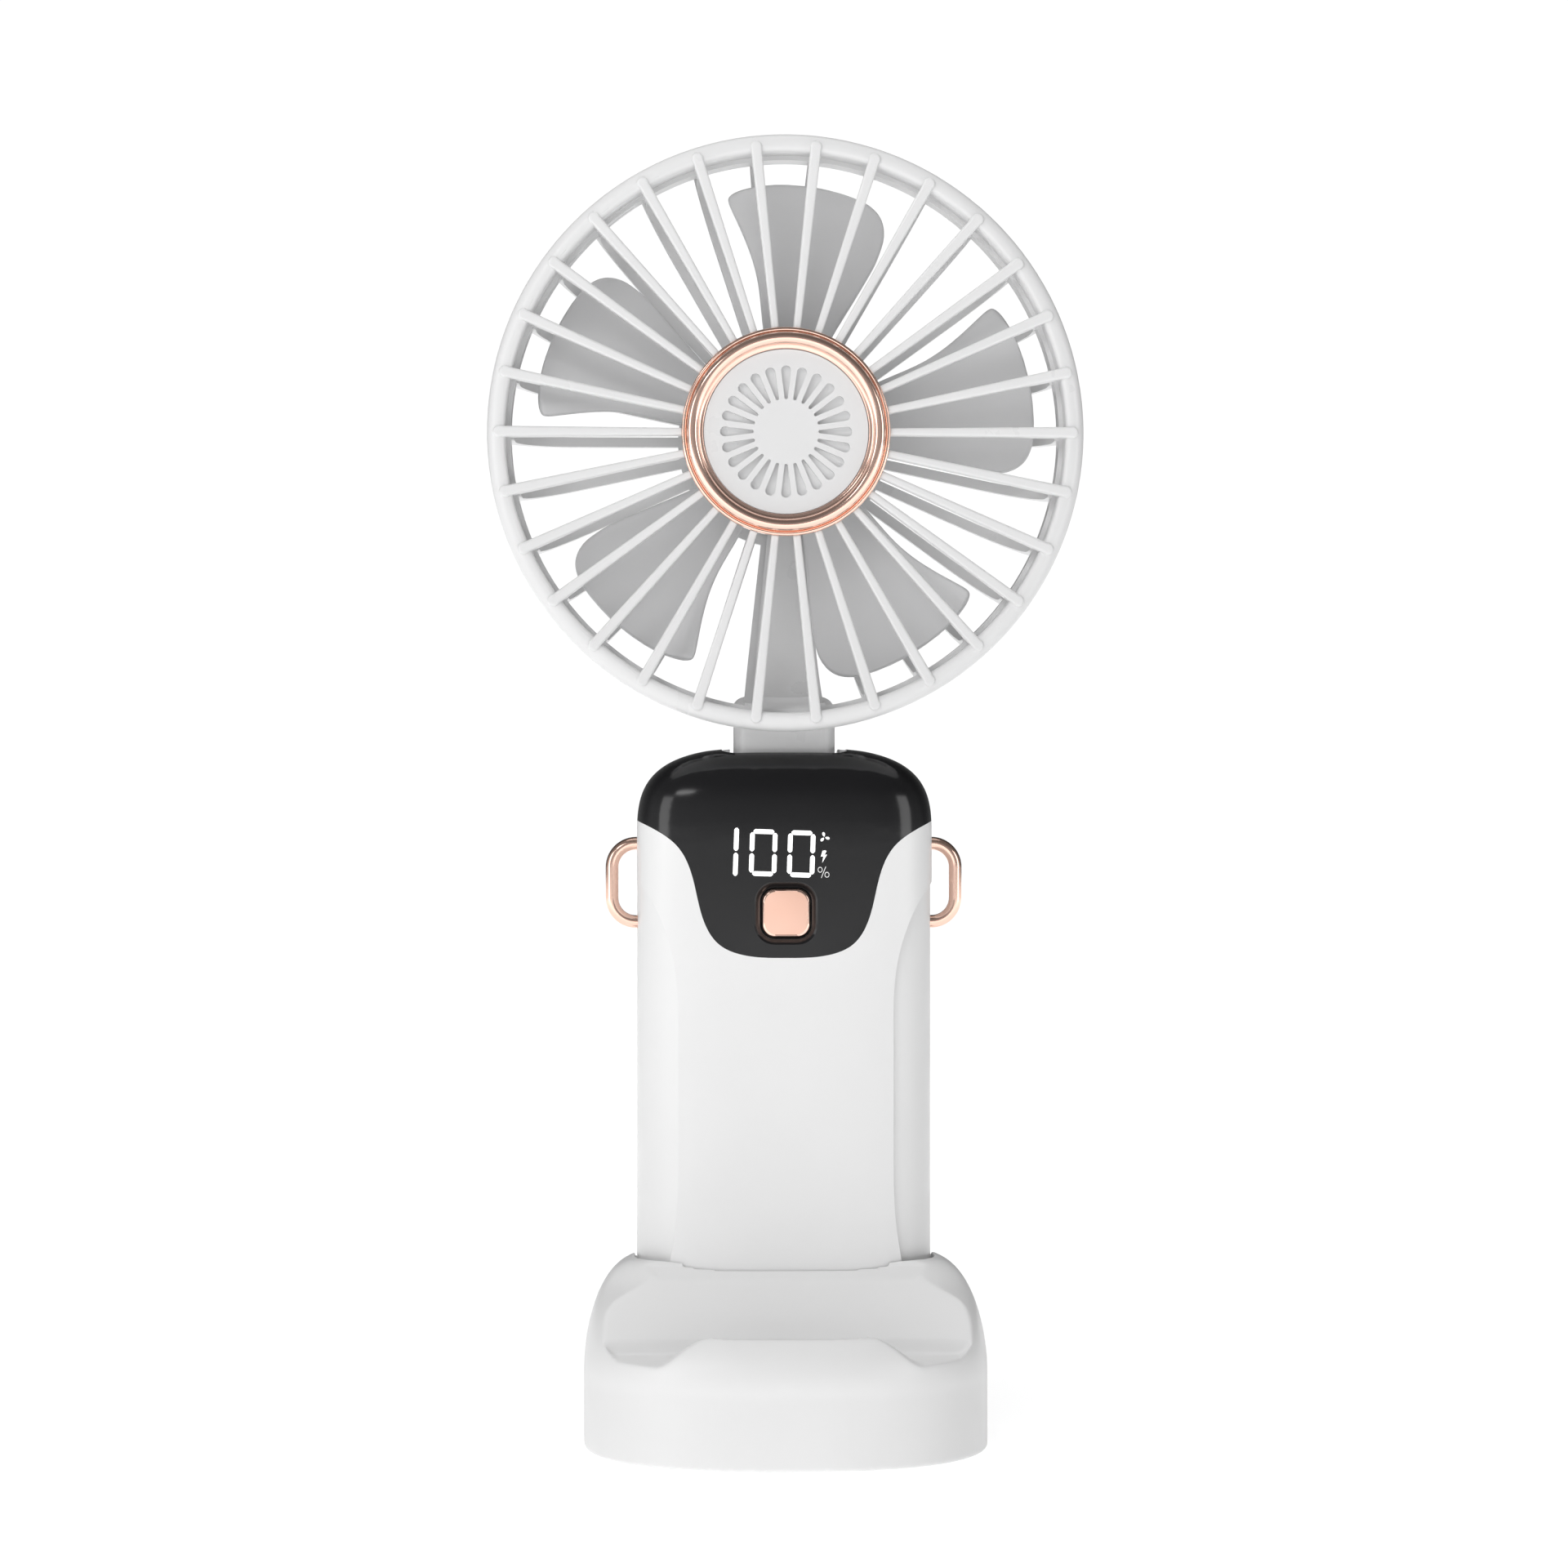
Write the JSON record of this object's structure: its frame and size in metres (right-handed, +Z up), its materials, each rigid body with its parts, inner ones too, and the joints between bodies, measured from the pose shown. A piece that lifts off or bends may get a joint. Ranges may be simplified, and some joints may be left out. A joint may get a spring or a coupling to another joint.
{
  "type": "handheld electric fan",
  "caption": "Handheld electric fan with a caged round head that folds back on a slim battery handle, standing in a weighted phone-rest base.",
  "frame": {"origin": "middle of the base's underside, on the surface that the base stands on", "axes": "+Z up, the fan blows towards -Y, +X to the right seen from the front"},
  "size_m": [0.096, 0.0652, 0.211],
  "materials": {
    "white_plastic": "satin white ABS",
    "grille_plastic": "satin white ABS",
    "black_panel": "glossy smoked black",
    "rose_gold": "polished rose gold plating",
    "loop_metal": "polished rose gold plating on steel wire",
    "button_face": "satin rose gold",
    "blade_plastic": "satin grey",
    "steel": "plain",
    "brass": "turned",
    "copper": "enamelled wire",
    "circuit_board": "solder mask",
    "foot_rubber": "matt",
    "cell_sleeve": "shrink sleeve",
    "dark_plastic": "matt",
    "magnet": "sintered"
  },
  "bodies": {
    "stand": {"base_shell": "white_plastic", "base_bottom_plate": "white_plastic", "base_feet": "foot_rubber", "base_screws": "steel", "base_counterweight": "steel"},
    "handle": {"handle_front_shell": "white_plastic", "handle_rear_shell": "white_plastic", "display_panel": "black_panel", "lanyard_loop_left": "loop_metal", "lanyard_loop_right": "loop_metal", "handle_screws": "steel", "display_module": "dark_plastic", "main_board": "circuit_board", "tact_switch": "dark_plastic", "board_screws": "steel", "charge_board": "circuit_board", "usb_c_port": "steel", "battery_holder": "dark_plastic", "battery_cell_left": "cell_sleeve", "battery_cell_right": "cell_sleeve", "nickel_strips": "steel", "battery_leads": "copper", "hinge_bracket": "steel", "hinge_pin": "steel", "friction_washers": "dark_plastic", "hinge_cover": "white_plastic", "bracket_screws": "steel"},
    "button": {"power_button": "button_face", "switch_plunger": "dark_plastic"},
    "head": {"front_grille": "grille_plastic", "rear_grille": "grille_plastic", "trim_ring": "rose_gold", "hub_cap": "grille_plastic", "rear_hub_cap": "grille_plastic", "neck_front_shell": "grille_plastic", "neck_rear_shell": "grille_plastic", "neck_screws": "steel", "bearing_tube": "brass", "front_bearing": "steel", "rear_bearing": "steel", "stator_core": "steel", "stator_coils": "copper", "motor_board": "circuit_board", "motor_screws": "steel", "motor_leads": "copper", "wire_cover": "grille_plastic"},
    "rotor": {"impeller": "blade_plastic", "rotor_cup": "steel", "magnet_ring": "magnet", "motor_shaft": "steel", "shaft_clip": "steel"}
  },
  "joints": [
    {"name": "handle_lift", "type": "slide", "parent": "stand", "child": "handle", "axis": [0, 0, 1], "range_m": [0, 0.06]},
    {"name": "button_press", "type": "slide", "parent": "handle", "child": "button", "axis": [0, 1, 0], "range_m": [0, 0.0004], "stiffness_N_per_m": 500, "springref_m": -0.002},
    {"name": "head_tilt", "type": "hinge", "parent": "handle", "child": "head", "pos_m": [0, 0.009, 0.099], "axis": [-1, 0, 0], "range_deg": [0, 90]},
    {"name": "impeller_spin", "type": "hinge", "parent": "head", "child": "rotor", "pos_m": [0, 0.007, 0.163], "axis": [0, -1, 0], "continuous": true}
  ]
}
